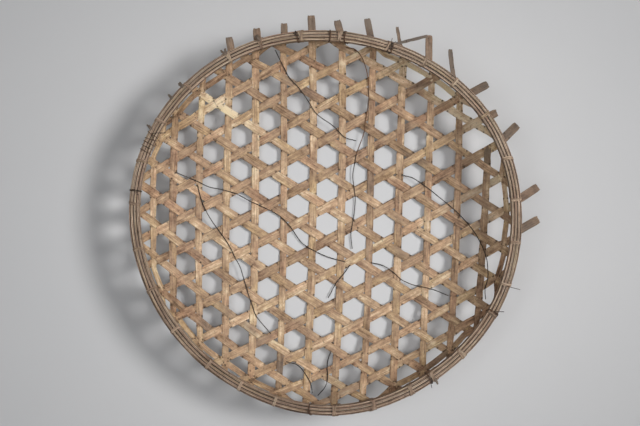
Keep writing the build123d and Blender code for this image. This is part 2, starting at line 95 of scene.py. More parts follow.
edge_reach = {
    "upright_strip_01": (-112.0, 140.0),
    "upright_strip_14": (-95.0, 78.0),
    "rising_strip_01": (-128.0, 40.0),
    "rising_strip_14": (-40.0, 105.0),
    "falling_strip_01": (-50.0, 85.0),
    "falling_strip_14": (-125.0, 75.0),
}
long_ends = {
    "upright_strip_04": (-146.4, 283.1),
    "upright_strip_05": (-104.4, 296.8),
    "upright_strip_06": (-62.5, 304.5),
    "upright_strip_07": (-21.3, 316.7),
    "upright_strip_08": (18.3, 309.0),
    "upright_strip_09": (64.0, 311.3),
    "upright_strip_10": (109.8, 299.1),
    "upright_strip_11": (158.6, 286.2),
    "upright_strip_12": (190.6, 264.8),
    "rising_strip_03": (157.1, 284.7),
    "rising_strip_06": (248.5, 211.5),
    "rising_strip_07": (263.0, 168.0),
    "rising_strip_08": (293.5, 149.4),
    "rising_strip_10": (324.8, 55.0),
    "rising_strip_11": (326.3, 5.9),
}
narrow_ends = {"upright_strip_10": 5.0, "rising_strip_03": 4.5, "upright_strip_12": 7.0}
broken_ends = {"upright_strip_13": 122.0}
lashing_angles = (85.5, 70.0, 58.1, 47.2, 33.9, 19.8, 6.7, 354.0, 341.2, 331.5, 316.2, 305.0, 297.2, 285.0,
                  272.8, 254.3, 242.6, 230.7, 215.3, 200.8, 188.0, 174.5, 161.2, 148.4, 135.1, 120.1, 109.8, 97.5)
lashing_feet = (83.25, 70.75, 59.35, 47.2, 34.65, 17.05, 8.7, 353.5, 342.45, 330.5, 316.2, 306.5, 297.2, 282.75,
                274.05, 254.05, 243.6, 229.95, 217.55, 204.05, 188.75, 173.75, 161.7, 148.65, 136.35, 122.35, 109.3, 97.5)
double_lashings = (85.5, 70.0, 305.0, 297.2, 285.0, 272.8, 120.1, 109.8, 97.5, 316.2)
wire_ties = ((98.6, 98.6), (88.5, 88.75), (84.1, 82.35), (69.0, 69.75), (170.4, 170.4), (158.4, 158.4),
             (157.0, 157.0), (155.7, 155.7), (154.4, 154.4), (153.0, 153.0), (332.3, 329.8), (304.0, 303.25),
             (265.1, 268.1))
wires = {
    "mending_wire_1": ((-80.6, 275.7), (-72.1, 258.7), (-58.4, 233.7), (-41.1, 214.0), (-26.8, 193.8),
                       (-10.8, 171.9), (16.4, 152.8), (32.6, 137.0), (49.9, 131.2)),
    "mending_wire_2": ((34.1, 280.2), (55.1, 265.6), (65.0, 247.0), (68.5, 227.0), (70.6, 197.2),
                       (66.1, 167.0), (63.0, 144.1), (54.9, 121.0), (48.8, 98.1), (45.6, 71.0), (48.9, 39.8),
                       (46.2, 6.5), (42.5, -18.8), (44.1, -43.0)),
    "mending_wire_3": ((40.8, -69.2), (29.8, -85.0), (16.6, -101.5), (5.3, -122.4)),
    "mending_wire_4": ((-237.5, 79.8), (-212.1, 68.8), (-183.7, 56.4), (-163.3, 52.2), (-141.1, 45.4),
                       (-118.8, 33.0), (-92.9, 21.6), (-72.1, 9.5), (-57.1, -5.6), (-46.4, -20.8),
                       (-33.1, -36.9), (-10.8, -49.2), (11.6, -58.6), (32.8, -64.4)),
    "mending_wire_5": ((-204.0, 60.1), (-200.0, 42.6), (-194.9, 27.6), (-187.0, 12.1), (-176.6, -4.3),
                       (-164.2, -22.2), (-151.2, -43.6), (-137.3, -70.9), (-128.5, -96.9), (-120.0, -125.0),
                       (-109.3, -151.8), (-86.1, -179.1)),
    "mending_wire_6": ((124.4, 75.9), (141.3, 71.1), (160.1, 59.2), (178.1, 45.3), (200.6, 26.8), (221.8, 5.8),
                       (238.1, -14.7), (250.3, -37.6), (257.2, -60.3), (257.9, -82.7), (253.5, -105.1),
                       (252.7, -120.5)),
    "mending_wire_7": ((76.4, -66.0), (94.3, -70.3), (111.3, -81.5), (126.1, -94.4), (143.5, -101.2),
                       (168.9, -106.7), (198.3, -117.6)),
    "mending_wire_8": ((10.0, -206.4), (4.2, -224.8), (4.5, -245.0), (0.3, -260.7), (-10.9, -272.8)),
    "mending_wire_9": ((-61.8, -222.5), (-45.2, -227.8), (-32.5, -239.4), (-23.5, -253.4), (-20.1, -268.6)),
}


def outline(a):
    r = outline_terms[0]
    for k in range(1, 8):
        r = r + outline_terms[2 * k - 1] * np.cos(k * a) + outline_terms[2 * k] * np.sin(k * a)
    return r


def wall(a):
    return outline(a) - wall_inset


def profile(rho):
    q = min(max((rho - flat_fraction) / (1 - flat_fraction), 0.0), 1.0)
    return bowl_height * (1 - (1 - q ** bowl_power_r) ** (1 / bowl_power_z))


def rho_at(z):
    if z >= bowl_height:
        return 1.0
    q = (1 - (1 - z / bowl_height) ** bowl_power_z) ** (1 / bowl_power_r)
    return flat_fraction + (1 - flat_fraction) * q


def unit(v):
    v = np.asarray(v, float)
    return v / np.maximum(np.linalg.norm(v, axis=-1, keepdims=True), 1e-12)


def surface_normal(a, rho, radius):
    e = 0.002
    hi = min(rho + e, 1.0)
    lo = max(hi - 2 * e, 0.0)
    slope = (profile(hi) - profile(lo)) / ((hi - lo) * radius)
    c = 1 / sqrt(1 + slope * slope)
    s = slope * c
    return (-s * cos(a), -s * sin(a), c)


def family_of(name):
    return name.split("_")[0]


def axes_of(name):
    a = family_angle[family_of(name)] * pi / 180
    return (cos(a), sin(a)), (-sin(a), cos(a))


def plan_point(name, u):
    d, n = axes_of(name)
    w = u / 300.0
    v = sum(c * w ** i for i, c in enumerate(strips[name]))
    return d[0] * u + n[0] * v, d[1] * u + n[1] * v


def plan_rho(x, y):
    return hypot(x, y) / wall(atan2(y, x))


def bowl_rho(x, y):
    # 0 at the deepest point and 1 at the rim: the bowl's level lines slide from
    # the deepest point to the rim's centre on their way up
    rho = plan_rho(x, y)
    for _ in range(8):
        g = max(1 - (rho / 0.9) ** 2, 0.0)
        rho = plan_rho(x - low_point[0] * g, y - low_point[1] * g)
    return rho


def bowl_z(x, y):
    return profile(min(bowl_rho(x, y), wall_start)) + lift


def bowl_normal(x, y):
    e = 0.5
    sx = (profile(bowl_rho(x + e, y)) - profile(bowl_rho(x - e, y))) / (2 * e)
    sy = (profile(bowl_rho(x, y + e)) - profile(bowl_rho(x, y - e))) / (2 * e)
    return tuple(unit((-sx, -sy, 1.0)))


def reach(name):
    if name in edge_reach:
        return edge_reach[name]
    ends = []
    for sign in (-1, 1):
        u = 0.0
        while plan_rho(*plan_point(name, u)) < wall_start and abs(u) < 320:
            u += sign
        ends.append(u - sign)
    return tuple(ends)


reaches = {name: reach(name) for name in strips}


def wall_end(name, sign):
    u = reaches[name][0 if sign < 0 else 1]
    x0, y0 = plan_point(name, u - sign)
    x, y = plan_point(name, u)
    dx, dy = x - x0, y - y0
    a = atan2(y, x)
    radius = wall(a)
    rho = min(plan_rho(x, y), wall_start)
    slope = (profile(rho) - profile(rho - 0.004)) / (0.004 * radius)
    along = (dx * cos(a) + dy * sin(a)) * sqrt(1 + slope * slope)
    aside = -dx * sin(a) + dy * cos(a)
    slant = max(min(aside / max(along, 1e-6), 1.5), -1.5)
    z = profile(rho)
    top = (lean_start if (sign > 0 and name in long_ends) else strip_top) - lift
    pts = []
    while z < top - 0.01:
        dz = min(1.5, top - z)
        r0, r1 = rho_at(z) * wall(a), rho_at(z + dz) * wall(a)
        step = hypot(dz, r1 - r0)
        z += dz
        a += slant * step / wall(a)
        r = rho_at(z) * wall(a)
        nrm = surface_normal(a, rho_at(z), wall(a)) if z < bowl_height - 0.5 else (-cos(a), -sin(a), 0.0)
        pts.append(((r * cos(a), r * sin(a), z + lift), nrm, "wall"))
    if sign > 0 and name in long_ends:
        tx, ty = long_ends[name]
        px, py = pts[-1][0][0], pts[-1][0][1]
        span = hypot(tx - px, ty - py)
        ex, ey = (tx - px) / span, (ty - py) / span
        er = (cos(a), sin(a))
        for dist, z, nrm in ((3.0, 93.2, (-er[0], -er[1], 1.0)), (7.0, 94.9, (0, 0, 1.0)), (12.0, 95.7, (0, 0, 1.0)),
                             (span * 0.6, 96.6, (0, 0, 1.0)), (span, tip_height, (0, 0, 1.0))):
            pts.append(((px + ex * dist, py + ey * dist, z), tuple(unit(nrm)), "lean"))
    return pts


def strip_path(name):
    lo, hi = reaches[name]
    if name in broken_ends:
        hi = broken_ends[name]
    mid = []
    steps = int(ceil((hi - lo) / 1.5))
    for i in range(steps + 1):
        x, y = plan_point(name, lo + (hi - lo) * i / steps)
        a = atan2(y, x)
        rho = min(plan_rho(x, y), wall_start)
        r = rho * wall(a)
        x, y = r * cos(a), r * sin(a)
        mid.append(((x, y, bowl_z(x, y)), bowl_normal(x, y), "bowl"))
    path = list(reversed(wall_end(name, -1))) + mid
    if name not in broken_ends:
        path += wall_end(name, 1)
    s = [0.0]
    for p, q in zip(path, path[1:]):
        s.append(s[-1] + sqrt(sum((p[0][i] - q[0][i]) ** 2 for i in range(3))))
    return path, s


over = {("upright", "rising"), ("rising", "falling"), ("falling", "upright")}
meridian = [0.0]
for step in range(1, 401):
    meridian.append(meridian[-1] + hypot(290.0 / 400, profile(step / 400) - profile((step - 1) / 400)))


def flatten(p):
    a = atan2(p[1], p[0])
    rho = min(hypot(p[0], p[1]) / wall(a), 1.0)
    g = meridian[int(rho * 400)] + max(p[2] - lift - bowl_height, 0.0)
    return g * cos(a), g * sin(a)


paths = {name: strip_path(name) for name in strips}
flat = {name: [flatten(p) for p, _, kind in paths[name][0] if kind != "lean"] for name in strips}
cell = 12.0
grid = {}
for name, pts in flat.items():
    for i, (x, y) in enumerate(pts):
        grid.setdefault((int(x // cell), int(y // cell)), []).append((name, i))


def crossings(name, s):
    found = {}
    pts = flat[name]
    for i in range(len(pts) - 1):
        (x0, y0), (x1, y1) = pts[i], pts[i + 1]
        cx, cy = int(x0 // cell), int(y0 // cell)
        for gx in (cx - 1, cx, cx + 1):
            for gy in (cy - 1, cy, cy + 1):
                for other, j in grid.get((gx, gy), ()):
                    if family_of(other) == family_of(name) or j + 1 >= len(flat[other]):
                        continue
                    (u0, v0), (u1, v1) = flat[other][j], flat[other][j + 1]
                    den = (x1 - x0) * (v1 - v0) - (y1 - y0) * (u1 - u0)
                    if abs(den) < 1e-12:
                        continue
                    f = ((u0 - x0) * (v1 - v0) - (v0 - y0) * (u1 - u0)) / den
                    g = ((u0 - x0) * (y1 - y0) - (v0 - y0) * (x1 - x0)) / den
                    if 0 <= f < 1 and 0 <= g < 1:
                        sign = 1 if (family_of(name), family_of(other)) in over else -1
                        found[round((s[i] + (s[i + 1] - s[i]) * f) / 3)] = (s[i] + (s[i + 1] - s[i]) * f, sign)
    return sorted(found.values())


# ------------------------------------------------------------------ noise and mesh helpers
def seed_of(text):
    h = 7
    for ch in text:
        h = (h * 131 + ord(ch)) % 1000003
    return h


def wave(s, length, rng):
    """Smooth random wave between -1 and 1 along s."""
    k = int(ceil((s[-1] - s[0]) / length)) + 4
    v = rng.uniform(-1, 1, k)
    t = (s - s[0]) / length + rng.random()
    i = np.floor(t).astype(int)
    f = t - i
    f = f * f * (3 - 2 * f)
    return v[i] * (1 - f) + v[i + 1] * f


def catmull(pts, per=8):
    """Points on a smooth line through pts."""
    p = np.asarray(pts, float)
    p = np.vstack([2 * p[0] - p[1], p, 2 * p[-1] - p[-2]])
    out = []
    for i in range(1, len(p) - 2):
        for k in range(per):
            t = k / per
            out.append(0.5 * ((2 * p[i]) + (-p[i - 1] + p[i + 1]) * t + (2 * p[i - 1] - 5 * p[i] + 4 * p[i + 1] - p[i + 2]) * t ** 2
                              + (-p[i - 1] + 3 * p[i] - 3 * p[i + 1] + p[i + 2]) * t ** 3))
    out.append(p[-2])
    return np.array(out)


def arc_length(p):
    return np.concatenate([[0.0], np.cumsum(np.linalg.norm(np.diff(p, axis=0), axis=1))])


def resample(p, step, extra=None):
    s = arc_length(p)
    n = max(int(ceil(s[-1] / step)), 3)
    t = np.linspace(0, s[-1], n + 1)
    q = np.stack([np.interp(t, s, p[:, k]) for k in range(p.shape[1])], 1)
    if extra is None:
        return q, t
    e = np.stack([np.interp(t, s, extra[:, k]) for k in range(extra.shape[1])], 1)
    return q, t, e


def smooth(v, turns):
    v = v.copy()
    for _ in range(turns):
        v[1:-1] = 0.25 * v[:-2] + 0.5 * v[1:-1] + 0.25 * v[2:]
    return v


class Heap:
    """Collects grids of points into one mesh."""

    def __init__(self):
        self.v, self.f, self.fibre, self.looks, self.edge, self.count = [], [], [], [], [], 0

    def add(self, verts, faces, fibre, looks, edge):
        self.v.append(verts.reshape(-1, 3))
        self.f.append(faces + self.count)
        self.fibre.append(fibre.reshape(-1, 3))
        self.looks.append(looks.reshape(-1, 3))
        self.edge.append(edge.reshape(-1))
        self.count += verts.size // 3

    def build(self, name, material):
        v = np.concatenate(self.v).astype(np.float64)
        v[:, 0] += basket_centre[0]
        v[:, 1] += basket_centre[1]
        v[:, 2] = np.maximum(v[:, 2], 0.03)
        v *= 0.001
        f = np.concatenate(self.f).astype(np.int32)
        me = bpy.data.meshes.new(name)
        me.vertices.add(len(v))
        me.vertices.foreach_set("co", v.astype(np.float32).ravel())
        me.loops.add(f.size)
        me.loops.foreach_set("vertex_index", f.ravel())
        me.polygons.add(len(f))
        me.polygons.foreach_set("loop_start", np.arange(0, f.size, 4, dtype=np.int32))
        me.polygons.foreach_set("use_smooth", np.ones(len(f), dtype=bool))
        me.update(calc_edges=True)
        for attr, kind, data in (("fibre", "FLOAT_VECTOR", self.fibre), ("looks", "FLOAT_VECTOR", self.looks)):
            a = me.attributes.new(attr, kind, "POINT")
            a.data.foreach_set("vector", np.concatenate(data).astype(np.float32).ravel())
        a = me.attributes.new("edge", "FLOAT", "POINT")
        a.data.foreach_set("value", np.concatenate(self.edge).astype(np.float32))
        me.validate(clean_customdata=False)
        me.materials.append(material)
        o = bpy.data.objects.new(name, me)
        bpy.context.scene.collection.objects.link(o)
        return o


def ring_faces(m, k, closed=False):
    i = np.arange(m if closed else m - 1)[:, None]
    j = np.arange(k)[None, :]
    i2, j2 = (i + 1) % m, (j + 1) % k
    return np.stack([i * k + j, i * k + j2, i2 * k + j2, i2 * k + j], -1).reshape(-1, 4)


def ribbon(heap, P, N, s, half, thick, crown, cols, relief, rng, looks, ragged=(None, None), closed=False,
           seed=0.0, under=None, ragged_span=8.0):
    """A split strip: P path, N its upper side, s length along, half half-width, thick thickness, all per ring."""
    m = len(P)
    if closed:
        T = unit(np.roll(P, -1, 0) - np.roll(P, 1, 0))
    else:
        T = unit(np.gradient(P, axis=0))
    N = unit(N - (N * T).sum(1, keepdims=True) * T)
    B = np.cross(T, N)
    xr = np.linspace(-1, 1, cols)
    half = np.broadcast_to(half, (2, m)) if np.ndim(half) < 2 else half
    thick = np.broadcast_to(thick, (m,))
    inset = 0.14
    # across position of each column, with its own left and right half width
    left, right = half[0][:, None], half[1][:, None]
    X = np.where(xr[None, :] < 0, xr[None, :] * (left - inset), xr[None, :] * (right - inset))
    top = thick[:, None] / 2 - crown * xr[None, :] ** 2 + relief
    bot = -thick[:, None] / 2 + 0.25 * crown * xr[None, :] ** 2 + (under if under is not None else 0.0)
    side_top = thick / 2 - crown - 0.2
    side_bot = -thick / 2 + 0.25 * crown + 0.2
    k = 2 * cols + 4
    x = np.zeros((m, k))
    y = np.zeros((m, k))
    x[:, :cols], y[:, :cols] = X, top
    x[:, cols], y[:, cols] = half[1], side_top
    x[:, cols + 1], y[:, cols + 1] = half[1], side_bot
    x[:, cols + 2:2 * cols + 2], y[:, cols + 2:2 * cols + 2] = X[:, ::-1], bot[:, ::-1]
    x[:, 2 * cols + 2], y[:, 2 * cols + 2] = -half[0], side_bot
    x[:, 2 * cols + 3], y[:, 2 * cols + 3] = -half[0], side_top
    back = np.zeros((m, k))
    for which, cut in enumerate(ragged):
        if cut is None or closed:
            continue
        full = np.interp(x[0 if which == 0 else -1] / max(half.max(), 1e-6), xr, cut)
        if which == 0:
            w = np.clip(1 - (s - s[0]) / ragged_span, 0, 1)
            back += w[:, None] * full[None, :]
        else:
            w = np.clip(1 - (s[-1] - s) / ragged_span, 0, 1)
            back -= w[:, None] * full[None, :]
    V = P[:, None, :] + B[:, None, :] * x[..., None] + N[:, None, :] * y[..., None] + T[:, None, :] * back[..., None]
    F = ring_faces(m, k, closed)
    if not closed:
        caps = []
        for ring, flip in ((0, False), (m - 1, True)):
            o = ring * k
            quads = [(o + j, o + 2 * cols + 1 - j, o + 2 * cols - j, o + j + 1) for j in range(cols - 1)]
            quads.append((o, o + 2 * cols + 3, o + 2 * cols + 2, o + 2 * cols + 1))
            quads.append((o + cols - 1, o + cols + 2, o + cols + 1, o + cols))
            caps += [q[::-1] if flip else q for q in quads]
        F = np.vstack([F, np.array(caps)])
    fibre = np.zeros((m, k, 3))
    fibre[..., 0] = (s[:, None] + back) * 1.0
    around = x.copy()
    around[:, cols + 1:2 * cols + 3] += 40.0
    fibre[..., 1] = around
    fibre[..., 2] = seed
    L = np.zeros((m, k, 3))
    L[:] = looks[:, None, :] if looks.ndim == 2 else looks
    edge = np.abs(x) / np.maximum(np.maximum(half[0], half[1])[:, None], 1e-6)
    heap.add(V, F, fibre, L, edge)


def tube(heap, P, radius, s=None, sides=8, tone=0.5, rust=0.0, seed=0.0, closed=False):
    """Round wire along P."""
    m = len(P)
    T = unit(np.roll(P, -1, 0) - np.roll(P, 1, 0)) if closed else unit(np.gradient(P, axis=0))
    if s is None:
        s = arc_length(P)
    N = np.zeros_like(P)
    n = np.array((0.0, 0.0, 1.0)) if abs(T[0][2]) < 0.9 else np.array((1.0, 0.0, 0.0))
    for i in range(m):
        n = n - n.dot(T[i]) * T[i]
        n = n / max(np.linalg.norm(n), 1e-9)
        N[i] = n
    B = np.cross(T, N)
    radius = np.broadcast_to(radius, (m,))
    ang = -2 * pi * np.arange(sides) / sides
    V = P[:, None, :] + (B[:, None, :] * np.cos(ang)[None, :, None] + N[:, None, :] * np.sin(ang)[None, :, None]) * radius[:, None, None]
    F = ring_faces(m, sides, closed)
    if not closed:
        caps = []
        for ring, flip in ((0, False), (m - 1, True)):
            o = ring * sides
            for j in range(0, sides // 2 - 1):
                q = (o + j, o + sides - 1 - j, o + sides - 2 - j, o + j + 1)
                caps.append(q[::-1] if flip else q)
        F = np.vstack([F, np.array(caps)])
    fibre = np.zeros((m, sides, 3))
    fibre[..., 0] = s[:, None]
    fibre[..., 1] = np.arange(sides)[None, :] * 0.5
    fibre[..., 2] = seed
    looks = np.zeros((m, sides, 3))
    looks[..., 0] = np.broadcast_to(tone, (m,))[:, None]
    looks[..., 1] = np.broadcast_to(rust, (m,))[:, None]
    heap.add(V, F, fibre, looks, np.zeros((m, sides)))


# ------------------------------------------------------------------ materials
def node_tree(name):
    m = bpy.data.materials.new(name)
    m.use_nodes = True
    nt = m.node_tree
    nt.nodes.clear()
    out = nt.nodes.new("ShaderNodeOutputMaterial")
    bsdf = nt.nodes.new("ShaderNodeBsdfPrincipled")
    nt.links.new(bsdf.outputs[0], out.inputs[0])
    return m, nt, bsdf


def math_node(nt, op, a, b=None, c=None, clamp=False):
    n = nt.nodes.new("ShaderNodeMath")
    n.operation = op
    n.use_clamp = clamp
    for i, v in enumerate((a, b, c)):
        if v is None:
            continue
        if isinstance(v, (int, float)):
            n.inputs[i].default_value = v
        else:
            nt.links.new(v, n.inputs[i])
    return n.outputs[0]


def attribute(nt, name):
    n = nt.nodes.new("ShaderNodeAttribute")
    n.attribute_type = "GEOMETRY"
    n.attribute_name = name
    return n


def noise_at(nt, vector, scale, detail=2.0, rough=0.5, stretch=(1, 1, 1), shift=(0, 0, 0)):
    mp = nt.nodes.new("ShaderNodeMapping")
    mp.inputs["Scale"].default_value = stretch
    mp.inputs["Location"].default_value = shift
    nt.links.new(vector, mp.inputs["Vector"])
    n = nt.nodes.new("ShaderNodeTexNoise")
    n.inputs["Scale"].default_value = scale
    n.inputs["Detail"].default_value = detail
    n.inputs["Roughness"].default_value = rough
    nt.links.new(mp.outputs[0], n.inputs["Vector"])
    return n.outputs[0]


def mix_colour(nt, fac, a, b, mode="MIX"):
    n = nt.nodes.new("ShaderNodeMix")
    n.data_type = "RGBA"
    n.blend_type = mode
    n.clamp_factor = True
    for sock, v in ((n.inputs[0], fac), (n.inputs[6], a), (n.inputs[7], b)):
        if isinstance(v, (int, float)):
            sock.default_value = v
        elif isinstance(v, tuple):
            sock.default_value = (*v, 1.0)
        else:
            nt.links.new(v, sock)
    return n.outputs[2]


def ramp(nt, fac, stops):
    n = nt.nodes.new("ShaderNodeValToRGB")
    e = n.color_ramp.elements
    while len(e) < len(stops):
        e.new(0.5)
    for el, (pos, col) in zip(e, stops):
        el.position = pos
        el.color = (*col, 1.0)
    nt.links.new(fac, n.inputs[0])
    return n.outputs[0]


def curve_of(nt, value, lo, hi, out_lo=0.0, out_hi=1.0):
    n = nt.nodes.new("ShaderNodeMapRange")
    n.clamp = True
    n.inputs["From Min"].default_value = lo
    n.inputs["From Max"].default_value = hi
    n.inputs["To Min"].default_value = out_lo
    n.inputs["To Max"].default_value = out_hi
    nt.links.new(value, n.inputs["Value"])
    return n.outputs[0]


def bamboo(name, stops, streak=0.30, blotch=0.20, rough=(0.48, 0.72), bump=0.5, fine=1.0, grey=(0.17, 0.14, 0.115),
           hues=((1.0, 0.99, 0.88), (1.05, 0.965, 0.94))):
    """Split bamboo: long fibres along each strip, blotches, stains, node rings and rubbed edges, with painted shade in
    the corners of the crossings.
    """
    m, nt, bsdf = node_tree(name)
    fibre, looks, edge = attribute(nt, "fibre"), attribute(nt, "looks"), attribute(nt, "edge")
    geo = nt.nodes.new("ShaderNodeTexCoord")
    sep = nt.nodes.new("ShaderNodeSeparateXYZ")
    nt.links.new(looks.outputs["Vector"], sep.inputs[0])
    tone, stain, knot_and_shade = sep.outputs[0], sep.outputs[1], sep.outputs[2]
    F = fibre.outputs["Vector"]
    broad = noise_at(nt, F, 1.0, 2.0, 0.5, (0.014, 0.34 * fine, 1.0), (5.7, 2.9, 0))
    wide = noise_at(nt, F, 1.0, 3.0, 0.6, (0.020, 0.85 * fine, 1.0))
    thin = noise_at(nt, F, 1.0, 2.0, 0.6, (0.05, 2.4 * fine, 1.3), (3.1, 7.7, 0))
    hair = noise_at(nt, F, 1.0, 1.0, 0.5, (0.12, 6.0 * fine, 1.7), (9.1, 1.7, 0))
    patch = noise_at(nt, F, 1.0, 3.0, 0.6, (0.045, 0.13, 1.0), (1.3, 4.4, 0))
    tint = noise_at(nt, F, 1.0, 2.0, 0.5, (0.016, 0.04, 1.9), (8.3, 0.4, 0))
    cloud = noise_at(nt, geo.outputs["Object"], 22.0, 3.0, 0.6)
    mottle = noise_at(nt, geo.outputs["Object"], 170.0, 3.0, 0.6)
    # tone moved by streaks and blotches
    t = tone
    for source, amount in ((broad, streak * 1.3), (wide, streak * 1.9), (thin, streak * 1.2), (patch, blotch * 2.4),
                           (cloud, blotch * 1.0), (mottle, blotch * 1.5)):
        t = math_node(nt, "ADD", t, math_node(nt, "MULTIPLY", math_node(nt, "SUBTRACT", source, 0.5), amount))
    col = ramp(nt, t, stops)
    # some lengths lean towards yellow green, others towards pinkish brown
    warm = ramp(nt, curve_of(nt, tint, 0.32, 0.68), ((0.0, hues[0]), (0.5, (1.0, 1.0, 1.0)), (1.0, hues[1])))
    col = mix_colour(nt, 1.0, col, warm, "MULTIPLY")
    # dark fibre lines
    line = curve_of(nt, thin, 0.38, 0.29)
    seam = curve_of(nt, wide, 0.36, 0.28)
    dark = tuple(0.34 * c for c in stops[1][1])
    col = mix_colour(nt, math_node(nt, "MULTIPLY", line, 0.45), col, dark)
    col = mix_colour(nt, math_node(nt, "MULTIPLY", seam, 0.50), col, dark)
    # weather stain: grey brown, in ragged lengths
    ragged = curve_of(nt, math_node(nt, "ADD", stain, math_node(nt, "MULTIPLY", math_node(nt, "SUBTRACT", wide, 0.5), 0.9)), 0.25, 0.80)
    col = mix_colour(nt, math_node(nt, "MULTIPLY", ragged, 0.85), col, grey)
    # soft dark node rings; the same channel also carries the painted shade by the crossings, which darkens a little
    # here too
    col = mix_colour(nt, math_node(nt, "MULTIPLY", math_node(nt, "MULTIPLY", knot_and_shade, 0.24), wide, clamp=True), col, dark)
    # painted shade packed into the corners of the crossings, where the strips meet
    crossing_shade = math_node(nt, "MULTIPLY", curve_of(nt, knot_and_shade, 0.20, 0.62), curve_of(nt, edge.outputs["Fac"], 0.40, 0.80))
    col = mix_colour(nt, math_node(nt, "MULTIPLY", crossing_shade, 0.92), col, tuple(0.16 * c for c in stops[1][1]))
    # edges: darker along them, rubbed pale here and there
    rim = curve_of(nt, math_node(nt, "ADD", edge.outputs["Fac"], math_node(nt, "MULTIPLY", math_node(nt, "SUBTRACT", thin, 0.5), 0.30)), 0.84, 1.02)
    col = mix_colour(nt, math_node(nt, "MULTIPLY", math_node(nt, "MULTIPLY", rim, curve_of(nt, patch, 0.42, 0.60)), 0.60), col, dark)
    col = mix_colour(nt, math_node(nt, "MULTIPLY", math_node(nt, "MULTIPLY", rim, curve_of(nt, patch, 0.44, 0.34)), 0.35), col, stops[-1][1])
    # small dark specks of mould and soot
    speck = curve_of(nt, noise_at(nt, geo.outputs["Object"], 240.0, 2.0, 0.6), 0.63, 0.72)
    col = mix_colour(nt, math_node(nt, "MULTIPLY", speck, 0.55), col, tuple(0.2 * c for c in stops[1][1]))
    nt.links.new(col, bsdf.inputs["Base Color"])
    r = curve_of(nt, math_node(nt, "ADD", wide, math_node(nt, "MULTIPLY", stain, 0.4)), 0.25, 0.85, rough[0], rough[1])
    nt.links.new(r, bsdf.inputs["Roughness"])
    bsdf.inputs["Specular IOR Level"].default_value = 0.30
    h = math_node(nt, "ADD", math_node(nt, "MULTIPLY", thin, 1.0), math_node(nt, "MULTIPLY", hair, 0.45))
    h = math_node(nt, "SUBTRACT", h, math_node(nt, "MULTIPLY", line, 0.6))
    b = nt.nodes.new("ShaderNodeBump")
    b.inputs["Strength"].default_value = bump
    b.inputs["Distance"].default_value = 0.00035
    nt.links.new(h, b.inputs["Height"])
    nt.links.new(b.outputs[0], bsdf.inputs["Normal"])
    return m


def rusty_iron(name):
    m, nt, bsdf = node_tree(name)
    fibre, looks = attribute(nt, "fibre"), attribute(nt, "looks")
    geo = nt.nodes.new("ShaderNodeTexCoord")
    sep = nt.nodes.new("ShaderNodeSeparateXYZ")
    nt.links.new(looks.outputs["Vector"], sep.inputs[0])
    pits = noise_at(nt, geo.outputs["Object"], 900.0, 3.0, 0.65)
    length = noise_at(nt, fibre.outputs["Vector"], 1.0, 3.0, 0.6, (0.09, 0.4, 1.0))
    f = math_node(nt, "ADD", sep.outputs[1], math_node(nt, "MULTIPLY", math_node(nt, "SUBTRACT", length, 0.5), 1.1))
    f = math_node(nt, "ADD", f, math_node(nt, "MULTIPLY", math_node(nt, "SUBTRACT", pits, 0.5), 0.8))
    col = ramp(nt, f, ((0.0, (0.022, 0.020, 0.020)), (0.35, (0.045, 0.036, 0.032)), (0.6, (0.12, 0.062, 0.036)), (1.0, (0.24, 0.115, 0.055))))
    nt.links.new(col, bsdf.inputs["Base Color"])
    bsdf.inputs["Metallic"].default_value = 0.35
    nt.links.new(curve_of(nt, pits, 0.3, 0.7, 0.5, 0.85), bsdf.inputs["Roughness"])
    b = nt.nodes.new("ShaderNodeBump")
    b.inputs["Strength"].default_value = 0.6
    b.inputs["Distance"].default_value = 0.0002
    nt.links.new(pits, b.inputs["Height"])
    nt.links.new(b.outputs[0], bsdf.inputs["Normal"])
    return m


weave_stops = ((0.0, (0.060, 0.034, 0.022)), (0.25, (0.205, 0.122, 0.073)), (0.5, (0.390, 0.255, 0.160)),
               (0.75, (0.580, 0.405, 0.252)), (1.0, (0.83, 0.68, 0.475)))
hoop_stops = ((0.0, (0.045, 0.030, 0.022)), (0.25, (0.140, 0.090, 0.062)), (0.5, (0.285, 0.195, 0.140)),
              (0.75, (0.43, 0.32, 0.235)), (1.0, (0.62, 0.50, 0.38)))
cane_stops = ((0.0, (0.10, 0.065, 0.043)), (0.25, (0.22, 0.150, 0.103)), (0.5, (0.38, 0.275, 0.195)),
              (0.75, (0.53, 0.41, 0.30)), (1.0, (0.70, 0.58, 0.44)))
mat_weave = bamboo("weave_bamboo", weave_stops, streak=0.38, blotch=0.40)
mat_hoop = bamboo("hoop_bamboo", hoop_stops, streak=0.40, blotch=0.26, rough=(0.55, 0.8), fine=1.2)
mat_splint = bamboo("splint_bamboo", hoop_stops, streak=0.50, blotch=0.30, rough=(0.55, 0.8), fine=1.8)
mat_cane = bamboo("cane_binding", cane_stops, streak=0.40, blotch=0.26, rough=(0.5, 0.75), fine=2.0)
mat_iron = rusty_iron("rusty_iron")

# ------------------------------------------------------------------ the weave
# each strip's own tone, and places along the weave that are stained or pale: family, plan x, y, radius, tone, stain
local_looks = (
    ("falling", -169.0, 185.0, 62.0, 0.40, -0.6), ("upright", -193.0, 178.0, 34.0, 0.28, -0.4),
    ("rising", -172.0, 188.0, 20.0, 0.34, -0.3), ("falling", -112.0, 147.0, 40.0, 0.16, 0.0), ("rising", -195.0, 150.0, 26.0, 0.22, 0.0),
    ("rising", 139.0, 179.0, 34.0, 0.24, 0.0), ("falling", 139.0, 179.0, 34.0, 0.24, 0.0),
    ("rising", 185.0, 212.0, 40.0, -0.30, 0.8), ("upright", -76.0, -234.0, 34.0, -0.20, 0.7),
    ("upright", 250.0, 114.0, 46.0, -0.22, 0.8), ("rising", 240.0, 118.0, 30.0, -0.22, 0.5),
    ("rising", 126.0, 284.0, 40.0, -0.35, 0.9), ("upright", 60.0, 150.0, 40.0, -0.10, 0.3),
)
placed = {}
